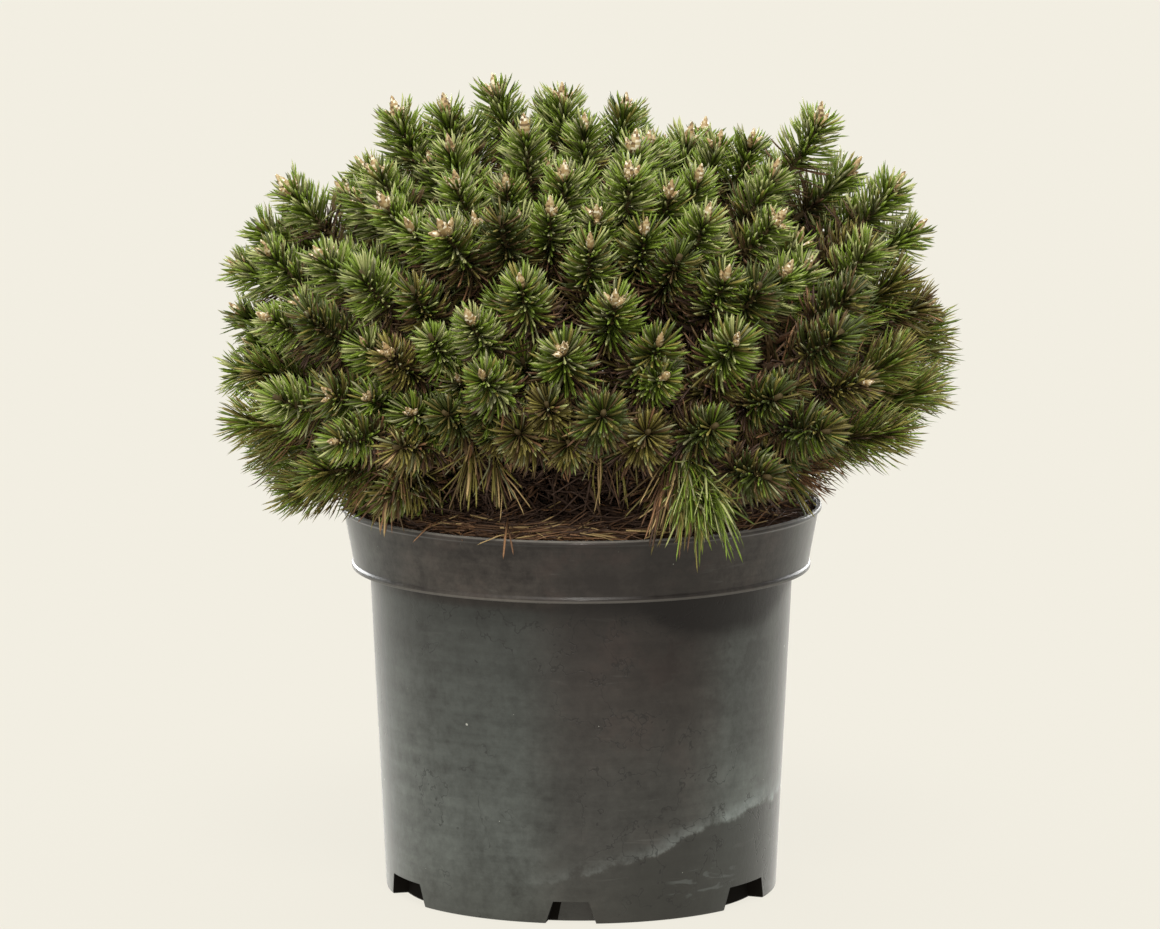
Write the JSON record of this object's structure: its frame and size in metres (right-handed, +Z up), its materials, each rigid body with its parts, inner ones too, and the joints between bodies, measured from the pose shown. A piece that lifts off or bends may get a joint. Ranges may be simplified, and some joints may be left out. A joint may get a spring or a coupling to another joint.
{
  "type": "potted mugo pine",
  "caption": "Mugo pine in a round black nursery pot: wide low dome of bristly needled shoots tipped with resinous buds, on boughs that fork from a short stem in potting mix.",
  "frame": {"origin": "middle of the pot's flat underside, on the ground", "axes": "+Z up along the pot's axis, -Y towards the front, where the crown opens over the rim, +X to the right"},
  "size_m": [0.4475, 0.4104, 0.4814],
  "materials": {
    "pot": "satin black moulded plastic, dusty and lightly scratched",
    "potting_mix": "damp peat and bark under orange-brown needle litter",
    "bark": "rough grey-brown scaly bark",
    "needles": "stiff dark to yellow-green needles with a slight sheen"
  },
  "bodies": {
    "root": {"pot": "pot", "potting_mix": "potting_mix", "stem": "bark", "bough_top": "bark", "bough_upper_1": "bark", "bough_upper_2": "bark", "bough_upper_3": "bark", "bough_upper_4": "bark", "bough_upper_5": "bark", "bough_middle_1": "bark", "bough_middle_2": "bark", "bough_middle_3": "bark", "bough_middle_4": "bark", "bough_middle_5": "bark", "bough_middle_6": "bark", "bough_middle_7": "bark", "bough_middle_8": "bark", "bough_lower_1": "bark", "bough_lower_2": "bark", "bough_lower_3": "bark", "bough_lower_4": "bark", "bough_lower_5": "bark", "bough_lower_6": "bark", "bough_lower_7": "bark", "foliage_top": "needles", "foliage_upper_1": "needles", "foliage_upper_2": "needles", "foliage_upper_3": "needles", "foliage_upper_4": "needles", "foliage_upper_5": "needles", "foliage_middle_1": "needles", "foliage_middle_2": "needles", "foliage_middle_3": "needles", "foliage_middle_4": "needles", "foliage_middle_5": "needles", "foliage_middle_6": "needles", "foliage_middle_7": "needles", "foliage_middle_8": "needles", "foliage_lower_1": "needles", "foliage_lower_2": "needles", "foliage_lower_3": "needles", "foliage_lower_4": "needles", "foliage_lower_5": "needles", "foliage_lower_6": "needles", "foliage_lower_7": "needles"}
  },
  "joints": []
}
